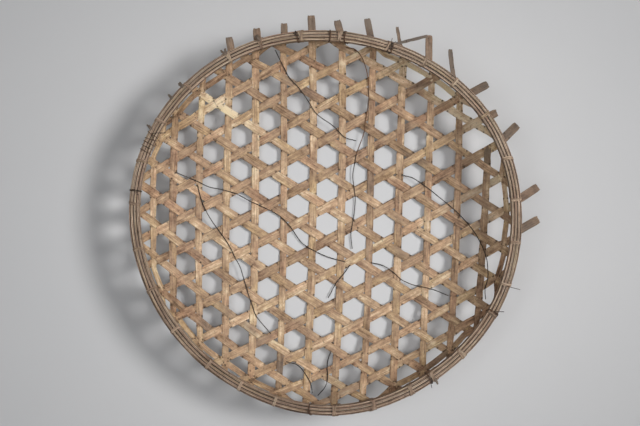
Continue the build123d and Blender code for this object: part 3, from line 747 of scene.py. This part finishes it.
for number, name in enumerate(strips):
    rng = np.random.default_rng(seed_of(name))
    path, s0 = paths[name]
    raw = np.array([p for p, _, _ in path], float)
    nrm = np.array([n for _, n, _ in path], float)
    kinds = [k for _, _, k in path]
    s0 = np.array(s0)
    lean0 = None
    if "lean" in kinds:
        i0 = kinds.index("lean")
        lean0 = s0[i0]
        # the long end bends in one smooth line
        tail = catmull(raw[i0 - 3:], 8)
        tn = np.stack([np.interp(arc_length(tail), arc_length(raw[i0 - 3:]), nrm[i0 - 3:, k]) for k in range(3)], 1)
        raw = np.vstack([raw[:i0 - 3], tail])
        nrm = np.vstack([nrm[:i0 - 3], tn])
    P, s, N = resample(raw, 1.9, nrm)
    P, N = smooth(P, 3), unit(smooth(N, 6))
    total = s[-1]
    found = [c for c in crossings(name, list(s0)) if 0.5 < c[0] < ((lean0 - 3.0) if lean0 else total - 0.5)]
    knots = []
    stop = (lean0 - 3.0) if lean0 else total - 0.5
    for i, (sc, sign) in enumerate(found):
        gap = min([abs(sc - o[0]) for j, o in enumerate(found) if j != i] or [40.0])
        half = min(crossing_half, 0.34 * gap, max(sc - 0.3, 0.2), max(stop - sc, 0.2))
        knots += [(sc - half, sign * weave_offset), (sc + half, sign * weave_offset)]
    knots.sort()
    ks = np.array([0.0] + [k[0] for k in knots] + ([stop, lean0] if lean0 else [total]))
    kv = np.array([knots[0][1]] + [k[1] for k in knots] + ([knots[-1][1], 0.0] if lean0 else [knots[-1][1]]))
    order = np.argsort(ks, kind="stable")
    ks, kv = ks[order], kv[order]
    idx = np.clip(np.searchsorted(ks, s, side="right") - 1, 0, len(ks) - 2)
    f = np.clip((s - ks[idx]) / np.maximum(ks[idx + 1] - ks[idx], 1e-6), 0, 1)
    f = f * f * (3 - 2 * f)
    off = kv[idx] * (1 - f) + kv[idx + 1] * f
    # small unevenness: the strip rolls and wanders a little between crossings
    T = unit(np.gradient(P, axis=0))
    N = unit(N - (N * T).sum(1, keepdims=True) * T)
    B = np.cross(T, N)
    fade = np.clip(np.minimum(s, total - s) / 30.0, 0, 1)
    roll = 0.018 * wave(s, 38.0, rng)
    wander = 0.35 * wave(s, 85.0, rng) * fade
    if lean0:
        # long ends curl a little, each its own way
        out = np.clip((s - lean0) / max(total - lean0, 1), 0, 1)
        roll = roll + out * rng.uniform(-0.16, 0.16)
        P = P + np.array((0, 0, 1.0)) * (out ** 2 * rng.uniform(-1.5, 1.2))[:, None]
    P = P + N * off[:, None] + B * wander[:, None]
    N = unit(N + B * roll[:, None])
    placed[name] = (P, N, s)
    base = (strip_width[family_of(name)] + 0.7 * sin(2.3 * int(name[-2:]) + len(name))) / 2
    # the strips are broadest over the middle of the bowl
    share = np.hypot(P[:, 0], P[:, 1]) / 290.0
    if family_of(name) == "upright":
        base = base + 0.20 * np.clip((0.60 - share) / 0.25, 0, 1)
    else:
        base = base + 0.72 * np.clip((0.80 - share) / 0.33, 0, 1)
    halves = []
    for side in range(2):
        h = base * (1 + 0.022 * wave(s, 60.0, rng)) + 0.10 * wave(s, 9.0, rng) + 0.05 * wave(s, 3.5, rng)
        # nicks along the edge
        for _ in range(rng.integers(1, 5)):
            c, w, d = rng.uniform(0, total), rng.uniform(1.5, 7.0), rng.uniform(0.25, 0.9)
            h = h - d * np.exp(-((s - c) / w) ** 2)
        halves.append(h)
    half = np.array(halves)
    if name in narrow_ends:
        # the long end has split down to a sliver
        w = narrow_ends[name] / 2
        g = np.clip((s - lean0) / 12.0, 0, 1)
        g = g * g * (3 - 2 * g)
        half[0] = half[0] * (1 - g) + (w + 0.3 * wave(s, 6.0, rng)) * g
        half[1] = half[1] * (1 - g) + (w + 0.3 * wave(s, 6.0, rng)) * g
    if lean0:
        # weathered ends taper a little
        end = np.clip((s - (total - 7.0)) / 7.0, 0, 1)
        half = half * (1 - 0.16 * end ** 2)[None, :]
    cols = 13
    relief = np.zeros((len(s), cols))
    for j in range(cols):
        relief[:, j] = 0.055 * wave(s, 75.0, rng) + 0.035 * wave(s, 16.0, rng)
    under = np.zeros((len(s), cols))
    for j in range(cols):
        under[:, j] = 0.05 * wave(s, 60.0, rng)
    knot_and_shade = np.zeros(len(s))
    pos = rng.uniform(20, 300)
    while pos < total:
        relief += (0.32 * np.exp(-((s - pos) / 1.6) ** 2) - 0.12 * np.exp(-((s - pos - 3.0) / 1.3) ** 2))[:, None]
        half = half + 0.22 * np.exp(-((s - pos) / 2.2) ** 2)[None, :]
        knot_and_shade = np.maximum(knot_and_shade, np.exp(-((s - pos - 1.8) / 1.2) ** 2))
        pos += rng.uniform(270, 400)
    # long cracks that follow the fibres
    crack = np.zeros((len(s), cols))
    for _ in range(rng.integers(1, 4)):
        j = int(rng.integers(2, cols - 2))
        c, w = rng.uniform(0, total), rng.uniform(14, 70)
        depth = np.clip(1.3 - (np.abs(s - c) / w) * 1.3, 0, 1)
        crack[:, j] = np.maximum(crack[:, j], depth)
    relief -= 0.5 * crack
    tone = 0.57 + rng.uniform(-0.12, 0.12) + 0.12 * wave(s, 46.0, rng) + 0.06 * wave(s, 17.0, rng)
    stain = np.clip(0.55 * wave(s, 60.0, rng) - 0.08, 0, 1) * rng.choice((0.4, 0.8, 1.2))
    # painted shade where the strip comes out from under another one: the tone drops there and the crossing-shade
    # channel rises
    for sc, sign in found:
        reach_out = np.abs(np.abs(s - sc) - 7.6)
        near = rng.uniform(0.6, 1.2) * np.exp(-(reach_out / 1.7) ** 2)
        tone = tone - (0.05 if sign < 0 else 0.0) * near
        knot_and_shade = np.maximum(knot_and_shade, np.clip((0.8 if sign < 0 else 0.3) * near, 0, 1))
    for fam, x, y, r, dt, ds in local_looks:
        if fam == family_of(name):
            g = np.exp(-((P[:, 0] - x) ** 2 + (P[:, 1] - y) ** 2) / r ** 2)
            near = np.exp(-((P[:, 0] - x) ** 2 + (P[:, 1] - y) ** 2).min() / 15.0 ** 2)
            tone = tone + dt * g * near
            stain = stain + ds * g * near
    # the stretch inside the rim and the ends outside it are weathered grey
    high = np.clip((P[:, 2] - 70.0) / 12.0, 0, 1)
    # painted shade: the wall is made darker towards its right and lower side, away from the key light
    painted_wall_shade = np.clip((P[:, 2] - 45.0) / 35.0, 0, 1) * np.clip((P[:, 0] - P[:, 1] * 0.9) / 200.0, 0, 1)
    tone = tone - 0.10 * painted_wall_shade
    # painted light: the upper right of the wall, which faces away from the key light, is made lighter in colour
    painted_light_upper_right = np.clip((P[:, 2] - 22.0) / 35.0, 0, 1) * np.clip((P[:, 0] + P[:, 1] * 0.45 - 50.0) / 180.0, 0, 1)
    if lean0:
        painted_light_upper_right = painted_light_upper_right * (s < lean0)
    painted_light_upper_right = painted_light_upper_right * np.clip((P[:, 1] + 60.0) / 70.0, 0, 1)
    tone = tone + 0.36 * painted_light_upper_right
    # a patch low on the right of the wall is made darker and greyer
    dark_grey_patch = np.clip((P[:, 2] - 48.0) / 30.0, 0, 1) * np.exp(-((P[:, 0] - 262.0) / 55.0) ** 2 - ((P[:, 1] + 105.0) / 75.0) ** 2)
    tone = tone - 0.20 * dark_grey_patch
    stain = stain + 0.35 * dark_grey_patch
    tone = tone - 0.06 * high
    stain = stain + 0.12 * high
    if lean0:
        stain = stain + 0.42 * np.clip((s - lean0) / 10.0, 0, 1)
        tone = tone - 0.20 * np.clip((s - lean0) / 10.0, 0, 1)
    looks = np.stack([tone, stain, knot_and_shade], 1)
    cut0 = rng.uniform(0, 0.8, cols)
    cut1 = rng.uniform(0, 1.0, cols) * (1.2 if lean0 else 0.8)
    span = 8.0
    if name in broken_ends:
        cut1 = np.abs(np.interp(np.linspace(0, 6, cols), range(7), rng.uniform(0, 11, 7)))
        span = 16.0
    heap = Heap()
    ribbon(heap, P, N, s, half, 0.95 + 0.05 * wave(s, 50.0, rng), 0.15, cols, relief, rng, looks, (cut0, cut1),
           seed=float(number) * 3.7, under=under, ragged_span=span)
    piece = heap.build("bamboo_" + name, mat_weave)
    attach(piece, "root")
    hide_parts(name)

# ------------------------------------------------------------------ rim hoops and splints


def rim_point(a, inset, z):
    r = outline(a) - inset
    return np.stack([r * np.cos(a), r * np.sin(a), np.broadcast_to(z, np.shape(a))], -1)


def rim_band(heap, a, inset, z, half_height, thick, rng, seed, cols=9, tone=0.5, stain=0.15, closed=False, flat=False,
             crown=0.2, ends=(None, None), beads=None):
    """A band along the rim. Standing, its faces look in and out; lying flat, they look up and down."""
    P = rim_point(a, inset, z)
    s = arc_length(P)
    if flat:
        N = np.tile(np.array((0.0, 0.0, 1.0)), (len(a), 1))
    else:
        N = np.stack([-np.cos(a), -np.sin(a), np.zeros_like(a)], -1)
    relief = np.zeros((len(a), cols))
    for j in range(cols):
        relief[:, j] = 0.07 * wave(s, 90.0, rng) + 0.04 * wave(s, 20.0, rng)
    knot_and_shade = np.zeros(len(a))
    pos = rng.uniform(20, 200)
    while pos < s[-1]:
        relief += (0.28 * np.exp(-((s - pos) / 1.8) ** 2))[:, None]
        knot_and_shade = np.maximum(knot_and_shade, np.exp(-((s - pos - 1.6) / 1.4) ** 2))
        pos += rng.uniform(260, 380)
    tones = tone + 0.10 * wave(s, 120.0, rng) + 0.06 * wave(s, 30.0, rng)
    stains = np.clip(stain + 0.35 * wave(s, 70.0, rng), 0, 1)
    hh = np.array([half_height * (1 + 0.03 * wave(s, 40.0, rng)) + 0.06 * wave(s, 7.0, rng) for _ in range(2)])
    if closed:
        # the noise meets itself where the band closes
        n = 60
        w = np.linspace(0, 1, n)
        for arr in (hh[0], hh[1], tones, stains, knot_and_shade):
            arr[-n:] = arr[-n:] * (1 - w) + arr[0] * w
        relief[-n:] = relief[-n:] * (1 - w)[:, None] + relief[0] * w[:, None]
    for which, taper in enumerate(ends):
        if taper:
            g = np.clip((s if which == 0 else s[-1] - s) / taper, 0.12, 1)
            hh = hh * g[None, :]
    if beads is not None:
        # bound here and there with hair-thin strands, so the gaps beside it open and close
        hh = hh * (1 + beads * (0.10 - 0.30 * np.sin(2 * pi * s / 4.7)))[None, :]
    looks = np.stack([tones, stains, knot_and_shade], 1)
    ribbon(heap, P, N, s, hh, thick, crown, cols, relief, rng, looks, closed=closed, seed=seed)


around = np.linspace(0, 2 * pi, 900, endpoint=False)
# the inner hoop gets a lighter tone (0.74) than the outer one (0.48): painted light on its inner face, which lies in
# shade from the key light on the right
for name, inset, z, half_height, thick, tone in (("inner_hoop", 12.95, 87.75, 8.6, 2.7, 0.74), ("outer_hoop", 1.9, 82.75, 7.6, 3.0, 0.48)):
    rng = np.random.default_rng(seed_of(name))
    heap = Heap()
    dz = 0.45 * np.sin(3 * around + 1.0) + 0.3 * np.sin(7 * around)
    rim_band(heap, around, inset + 0.15 * np.sin(5 * around), z + dz, half_height, thick, rng, seed_of(name) % 97, cols=21,
             tone=tone, closed=True)
    piece = heap.build("bamboo_" + name, mat_hoop)
    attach(piece, "root")
    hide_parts(name)

splint_strands = {
    # offset from the splint's inset, height, half width, thickness, tone
    # the low, wide strands with tone near 0 lie beneath the gaps between the others: painted shade, a dark fill
    # standing in for the shadow down in those gaps
    1: ((-0.86, 99.5, 0.80, 2.0, 0.60), (0.86, 99.5, 0.84, 2.0, 0.82), (0.0, 97.4, 1.9, 1.2, 0.04)),
    2: ((-2.30, 97.4, 1.4, 1.2, 0.0), (-0.84, 99.6, 0.78, 2.0, 0.84), (0.84, 99.6, 0.80, 2.0, 0.66),
        (2.30, 97.4, 1.4, 1.2, 0.0)),
    3: ((-3.45, 98.5, 0.80, 2.0, 0.58), (-0.86, 99.5, 0.80, 2.0, 0.86), (0.86, 99.5, 0.80, 2.0, 0.70),
        (-2.2, 97.2, 1.5, 1.2, 0.0)),
}
for number, inset in enumerate((13.9, 9.3, 4.7), 1):
    rng = np.random.default_rng(seed_of("splint%d" % number))
    heap = Heap()
    for strand, (side, level, half_width, deep, shade) in enumerate(splint_strands[number]):
        start = rng.uniform(0, 2 * pi)
        # two lengths to the circle, whose thinned ends lie side by side
        for part in range(2):
            a0 = start + part * pi - 0.05
            a1 = start + (part + 1) * pi + 0.05
            a = np.linspace(a0, a1, 260 if level < 98 else 820)
            sa = (a - a0) * 297.0
            drift = 0.20 * wave(sa, 60.0, rng) + 0.10 * wave(sa, 25.0, rng)
            bob = 0.35 * wave(sa, 70.0, rng) + 0.15 * wave(sa, 22.0, rng)
            bound = np.clip(1.7 - np.abs(((a - 0.82 + pi) % (2 * pi)) - pi) / 0.42, 0, 1)
            # painted shade: on the lower left the outermost strand, beside the rim's shaded outer side, is made much
            # darker and the others a little darker
            painted_shade_lower_left = np.clip(1.6 - np.abs(((a - 4.2 + pi) % (2 * pi)) - pi) / 0.75, 0, 1)
            rim_band(heap, a, inset + side + drift, level + bob + (0.1 if part else -0.1), half_width, deep, rng,
                     float(number * 11 + strand * 5 + part), cols=5,
                     tone=shade + rng.uniform(-0.05, 0.05) - (0.36 * painted_shade_lower_left if side < -3 else 0.12 * painted_shade_lower_left),
                     stain=rng.uniform(0.0, 0.30), flat=True, crown=0.5, ends=(14.0, 14.0), beads=bound)
    piece = heap.build("bamboo_rim_splint_%d" % number, mat_splint)
    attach(piece, "root")
    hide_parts("rim_splint_%d" % number)

# ------------------------------------------------------------------ lashings and wire ties
section = np.array(((-1.0, 78.5), (-1.05, 86.0), (-0.9, 92.5), (-0.2, 98.2), (1.8, 101.2), (6.2, 102.1), (9.3, 102.2),
                    (12.6, 102.0), (15.2, 101.2), (15.9, 98.6), (15.3, 95.0), (15.2, 88.0), (15.1, 81.5), (13.2, 77.8),
                    (9.0, 75.6), (3.8, 73.7), (0.2, 74.0)))
ring = np.vstack([section, section[:1]])
wrapped = np.vstack([section[-2:], section, section[:3]])
loop_fine = catmull(wrapped, 6)[12:-11]      # once round, start to start
loop_s = arc_length(loop_fine)
loop_s /= loop_s[-1]
foot_share = 0.90                             # where it passes under the hoops


def round_the_rim(top_angle, foot_angle, turns, pitch, lean, swell, step=0.9, start=0.86):
    """Path of a strand wound round the rim, and the side of it that looks outwards."""
    per = 64
    n = int(turns * per) + 1
    u = start + np.arange(n) / per
    ph = u % 1.0
    inset = np.interp(ph, loop_s, loop_fine[:, 0])
    z = np.interp(ph, loop_s, loop_fine[:, 1])
    e = 1e-3
    di = np.interp((ph + e) % 1.0, loop_s, loop_fine[:, 0]) - np.interp((ph - e) % 1.0, loop_s, loop_fine[:, 0])
    dz = np.interp((ph + e) % 1.0, loop_s, loop_fine[:, 1]) - np.interp((ph - e) % 1.0, loop_s, loop_fine[:, 1])
    ln = np.hypot(di, dz)
    # outward side of the section: the loop runs up the outside first
    ni, nz = -dz / ln, di / ln
    # distance from the foot, as an angle share: 0 at the foot and 1 on top
    share = 0.5 - 0.5 * np.cos(2 * pi * (ph - foot_share))
    a = foot_angle * (1 - share) + top_angle * share
    mm = pitch * (u - start - turns / 2) + lean * np.sin(2 * pi * (ph - foot_share))
    a = a + mm / 290.0
    inset = inset + ni * swell
    z = z + nz * swell
    P = rim_point(a, inset, z)
    N = np.stack([-ni * np.cos(a), -ni * np.sin(a), nz], -1)
    return P, unit(N)


rng = np.random.default_rng(41)
heap = Heap()
for top, foot in zip(lashing_angles, lashing_feet):
    top_a, foot_a = top * pi / 180, foot * pi / 180
    if foot_a - top_a > pi:
        foot_a -= 2 * pi
    if top_a - foot_a > pi:
        foot_a += 2 * pi
    foot_a = top_a + max(min(foot_a - top_a, 0.03), -0.03)
    winds = [(2.0, 2.3, rng.uniform(-1.2, 1.6))]
    if top in double_lashings:
        winds = [(2.1, 2.3, 2.4), (2.0, 2.3, -2.6)]
    for w, (turns, pitch, lean) in enumerate(winds):
        P, N = round_the_rim(top_a + rng.uniform(-0.003, 0.003), foot_a, turns + rng.uniform(0, 0.15), pitch, lean * rng.uniform(0.7, 1.3),
                             0.05 + 0.45 * w, start=0.84 + rng.uniform(-0.03, 0.03))
        P, s, N = resample(P, 1.15, N)
        P = smooth(P, 2)
        cols = 5
        relief = np.stack([0.05 * wave(s, 14.0, rng) for _ in range(cols)], 1)
        half = np.array([1.02 * (1 + 0.10 * wave(s, 12.0, rng)) for _ in range(2)])
        tone = 0.47 + rng.uniform(-0.15, 0.13) + 0.16 * wave(s, 14.0, rng)
        stain = np.clip(0.15 + 0.35 * wave(s, 20.0, rng), 0, 1)
        ribbon(heap, P, N, s, half, 0.55, 0.16, cols, relief, rng, np.stack([tone, stain, np.zeros(len(s))], 1),
               (rng.uniform(0, 1.2, cols), rng.uniform(0, 1.2, cols)), seed=rng.uniform(0, 50), ragged_span=2.5)
# knotted ends of the cane that stand out beyond the rim
for knot_at, count in ((151.7, 3), (140.9, 3), (136.3, 4), (120.7, 4), (109.8, 2), (305.0, 2)):
    for _ in range(count):
        a0 = knot_at * pi / 180 + rng.uniform(-0.006, 0.006)
        a1 = a0 + rng.uniform(-0.016, 0.016)
        f = np.linspace(0, 1, 12)
        inset = 4.0 - rng.uniform(8.0, 11.0) * f
        P = rim_point(a0 + (a1 - a0) * f, inset, 102.4 - 5.0 * f ** 2 + rng.uniform(-0.6, 0.8))
        P = P + 0.3 * np.stack([wave(f * 9.0, 3.0, rng) for _ in range(3)], 1)
        sk = arc_length(P)
        ribbon(heap, P, np.tile((0.0, 0.0, 1.0), (12, 1)), sk, np.full((2, 12), rng.uniform(1.1, 1.8)), 0.9, 0.2, 5,
               np.zeros((12, 5)), rng, np.stack([np.full(12, rng.uniform(0.15, 0.4)), np.full(12, 0.7), np.zeros(12)], 1),
               (np.zeros(5), rng.uniform(0, 0.8, 5)), seed=rng.uniform(0, 50), ragged_span=2.0)
piece = heap.build("cane_lashing_strands", mat_cane)
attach(piece, "root")
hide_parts("cane_lashings")

rng = np.random.default_rng(43)
heap = Heap()
for top, foot in wire_ties:
    top_a, foot_a = top * pi / 180, foot * pi / 180
    foot_a = top_a + max(min(foot_a - top_a, 0.03), -0.03)
    wound = 152 < top < 159
    P, N = round_the_rim(top_a, foot_a, 1.0 if wound else 2.05, 1.1, rng.uniform(-1.8, 1.8), 0.30, start=0.30 if not wound else 0.86)
    P, s, N = resample(P, 0.8, N)
    P = smooth(P, 2)
    P = P + 0.15 * np.stack([wave(s, 7.0, rng) for _ in range(3)], 1)
    tube(heap, P, 0.46, s, rust=0.50 + 0.3 * wave(s, 15.0, rng), seed=rng.uniform(0, 40))
# twisted ends left standing beside the ties
for at, away, inset0, inset1, rise in ((69.4, 0.010, 9.0, -5.0, 2.0), (70.0, -0.022, 7.0, -2.0, 3.0), (68.9, 0.024, 6.0, 15.0, 2.5),
                                       (69.9, 0.004, 5.0, 17.5, 1.5), (69.2, -0.030, 10.0, 8.0, 2.0), (340.8, 0.004, 7.0, -15.0, 0.5),
                                       (332.6, 0.016, 6.0, -5.5, 1.0), (303.6, -0.012, 5.0, -5.0, 1.0), (98.6, 0.016, 8.0, 3.0, 2.0),
                                       (170.4, 0.020, 9.0, 14.0, 1.5), (153.2, 0.040, 8.0, 21.0, 1.5), (152.6, -0.034, 8.0, 24.0, 1.0)):
    a0 = at * pi / 180
    f = np.linspace(0, 1, 16)
    P = rim_point(a0 + away * f, inset0 + (inset1 - inset0) * f, 102.3 + rise * np.sin(pi * f) - 1.5 * f ** 2)
    P = P + 0.5 * np.stack([wave(f * 14.0, 5.0, rng) for _ in range(3)], 1) * f[:, None]
    P, sw = resample(P, 0.8)
    tube(heap, P, 0.44, sw, rust=0.35 + 0.2 * wave(sw, 9.0, rng), seed=rng.uniform(0, 40))
piece = heap.build("iron_wire_ties", mat_iron)
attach(piece, "root")
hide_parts("rim_wire_ties")

# ------------------------------------------------------------------ mending wires
for name, route in wires.items():
    rng = np.random.default_rng(seed_of(name))
    xy = catmull(route, 10)
    xy, s = resample(xy, 1.2)
    xy = xy + 0.45 * np.stack([wave(s, 17.0, rng), wave(s, 17.0, rng)], 1)
    height = 2.05 + 0.25 * wave(s, 11.0, rng)
    P = []
    for (x, y), h in zip(xy, height):
        a = atan2(y, x)
        rho = min(plan_rho(x, y), wall_start)
        r = rho * wall(a)
        x, y = r * cos(a), r * sin(a)
        n = bowl_normal(x, y)
        P.append((x + n[0] * h, y + n[1] * h, bowl_z(x, y) + n[2] * h))
    P = smooth(np.array(P), 2)
    rust = 0.2 + 0.25 * wave(s, 30.0, rng)
    if name == "mending_wire_2":
        rust = rust + 0.5 * (P[:, 1] > 110)
    heap = Heap()
    tube(heap, P, 0.68, s, rust=rust - 0.05, seed=rng.uniform(0, 40))
    piece = heap.build("iron_" + name, mat_iron)
    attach(piece, "root")
    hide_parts(name)

# ------------------------------------------------------------------ floor, light and camera
me = bpy.data.meshes.new("floor")
me.from_pydata([(-6, -6, 0), (6, -6, 0), (6, 6, 0), (-6, 6, 0)], [], [(0, 1, 2, 3)])
floor = bpy.data.objects.new("floor", me)
bpy.context.scene.collection.objects.link(floor)
m, nt, bsdf = node_tree("pale_paper")
tc = nt.nodes.new("ShaderNodeTexCoord")
n1 = noise_at(nt, tc.outputs["Object"], 3.0, 3.0, 0.5)
nt.links.new(mix_colour(nt, n1, (0.60, 0.605, 0.615), (0.64, 0.64, 0.645)), bsdf.inputs["Base Color"])
bsdf.inputs["Roughness"].default_value = 0.85
me.materials.append(m)


def area_light(name, place, target, size, power, colour, spread):
    data = bpy.data.lights.new(name, "AREA")
    data.shape = "DISK"
    data.size = size
    data.energy = power
    data.color = colour
    data.spread = spread * pi / 180
    o = bpy.data.objects.new(name, data)
    bpy.context.scene.collection.objects.link(o)
    o.location = place
    d = np.array(target) - np.array(place)
    o.rotation_mode = "QUATERNION"
    o.rotation_quaternion = Vector(d).to_track_quat("-Z", "Y")
    o.visible_camera = False
    return o


area_light("key", (1.82, 0.32, 2.36), (-0.30, -0.02, 0.0), 0.95, 9.6, (1.0, 0.99, 0.98), 70)
area_light("overhead", (0.08, 0.02, 1.90), (0.02, -0.03, 0.0), 0.60, 0.50, (0.99, 0.992, 1.0), 42)
area_light("left", (-1.12, -0.10, 2.78), (0.0, 0.0, 0.0), 1.30, 14.8, (0.98, 0.99, 1.0), 180)
world = bpy.data.worlds.new("studio")
bpy.context.scene.world = world
world.use_nodes = True
world.node_tree.nodes["Background"].inputs[0].default_value = (0.80, 0.82, 0.86, 1)
world.node_tree.nodes["Background"].inputs[1].default_value = 0.12

cam_data = bpy.data.cameras.new("camera")
cam = bpy.data.objects.new("camera", cam_data)
bpy.context.scene.collection.objects.link(cam)
cam_data.sensor_width = 36.0
cam_data.lens = 59.10
cam.location = (-0.02141, 0.00497, 1.700)
cam.rotation_euler = (0.0, 0.0, 0.0)
cam_data.clip_start, cam_data.clip_end = 0.05, 50.0
bpy.context.scene.camera = cam
bpy.context.scene.view_settings.view_transform = "Standard"
